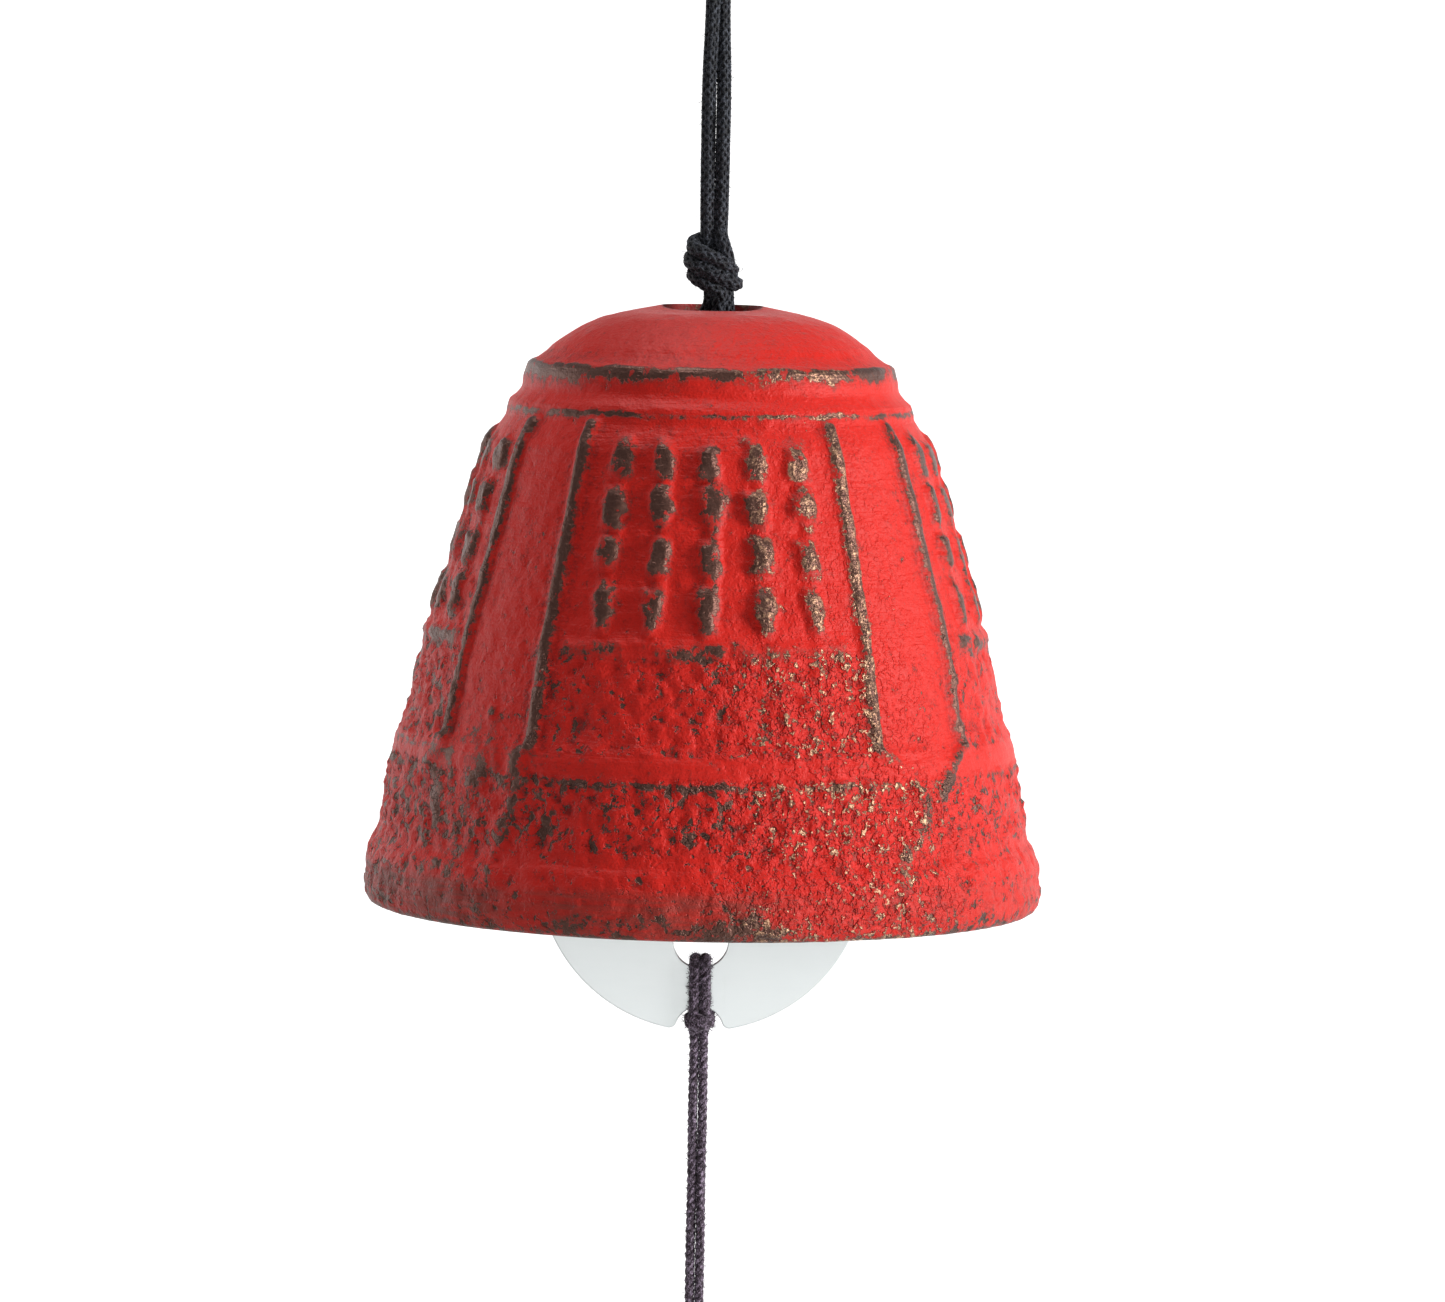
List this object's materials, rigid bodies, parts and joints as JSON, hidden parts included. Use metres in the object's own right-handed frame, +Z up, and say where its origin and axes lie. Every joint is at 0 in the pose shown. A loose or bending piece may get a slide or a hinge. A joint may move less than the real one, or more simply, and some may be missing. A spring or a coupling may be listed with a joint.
{
  "type": "wind bell",
  "caption": "Small cast wind bell shaped like a temple bell, hung from a knotted cord, with a disc clapper and a paper strip that catches the wind.",
  "frame": {"origin": "point where the hanging eye bears on its hook, on the bell's axis", "axes": "+Z up along the hanging cord and the bell's axis, -Y towards the viewer and the clapper plate's face, +X to the viewer's right"},
  "size_m": [0.072, 0.072, 0.2773],
  "materials": {
    "red_bell": "red paint over sandy cast iron, satin, worn to brown metal on what stands proud",
    "pin_steel": "drawn steel wire",
    "black_cord": "black braided cord",
    "dark_cord": "dark twisted cord",
    "plate_metal": "pale sheet metal, satin",
    "strip_paper": "plain stiff paper"
  },
  "bodies": {
    "eye": {"hanging_eye": "black_cord"},
    "top_knot": {"top_knot": "black_cord"},
    "hanging_cord": {"hanging_cord_left": "black_cord", "hanging_cord_right": "black_cord"},
    "crown_knot": {"crown_knot": "black_cord", "crown_bight": "black_cord"},
    "bell": {"bell_casting": "red_bell", "crown_pin": "pin_steel", "clapper_loops": "dark_cord"},
    "clapper_knot": {"clapper_knot": "dark_cord"},
    "clapper_cord": {"clapper_cord_left": "dark_cord", "clapper_cord_right": "dark_cord"},
    "clapper": {"upper_hitch": "dark_cord", "clapper_plate": "plate_metal", "lower_hitch": "dark_cord"},
    "wind_cord": {"wind_cord_left": "dark_cord", "wind_cord_right": "dark_cord"},
    "paper_knot": {"paper_knot": "dark_cord"},
    "paper": {"paper_loop": "dark_cord", "paper_strip": "strip_paper"}
  },
  "joints": [
    {"name": "swing_side", "type": "hinge", "parent": "eye", "child": "top_knot", "pos_m": [0, 0, -0.0105], "axis": [0, 1, 0], "range_deg": [-25, 25]},
    {"name": "swing_front", "type": "hinge", "parent": "top_knot", "child": "hanging_cord", "pos_m": [0, 0, -0.0105], "axis": [1, 0, 0], "range_deg": [-25, 25]},
    {"name": "bell_turn", "type": "hinge", "parent": "hanging_cord", "child": "crown_knot", "pos_m": [0, 0, -0.047], "axis": [0, 0, 1], "continuous": true},
    {"name": "bell_rock", "type": "hinge", "parent": "crown_knot", "child": "bell", "pos_m": [0, 0, -0.05165], "axis": [0, 1, 0], "range_deg": [-15, 15]},
    {"name": "clapper_turn", "type": "hinge", "parent": "bell", "child": "clapper_knot", "pos_m": [0, 0, -0.05905], "axis": [0, 0, 1], "continuous": true},
    {"name": "clapper_swing", "type": "hinge", "parent": "clapper_knot", "child": "clapper_cord", "pos_m": [0, 0, -0.05905], "axis": [0, 1, 0], "range_deg": [-13, 13]},
    {"name": "clapper_spin", "type": "hinge", "parent": "clapper_cord", "child": "clapper", "pos_m": [0, 0, -0.09], "axis": [0, 0, 1], "continuous": true},
    {"name": "wind_cord_swing", "type": "hinge", "parent": "clapper", "child": "wind_cord", "pos_m": [0, 0, -0.12295], "axis": [1, 0, 0], "range_deg": [-40, 40]},
    {"name": "paper_turn", "type": "hinge", "parent": "wind_cord", "child": "paper_knot", "pos_m": [0, 0, -0.158], "axis": [0, 0, 1], "continuous": true},
    {"name": "paper_flap", "type": "hinge", "parent": "paper_knot", "child": "paper", "pos_m": [0, 0, -0.158], "axis": [1, 0, 0], "range_deg": [-50, 50]}
  ]
}
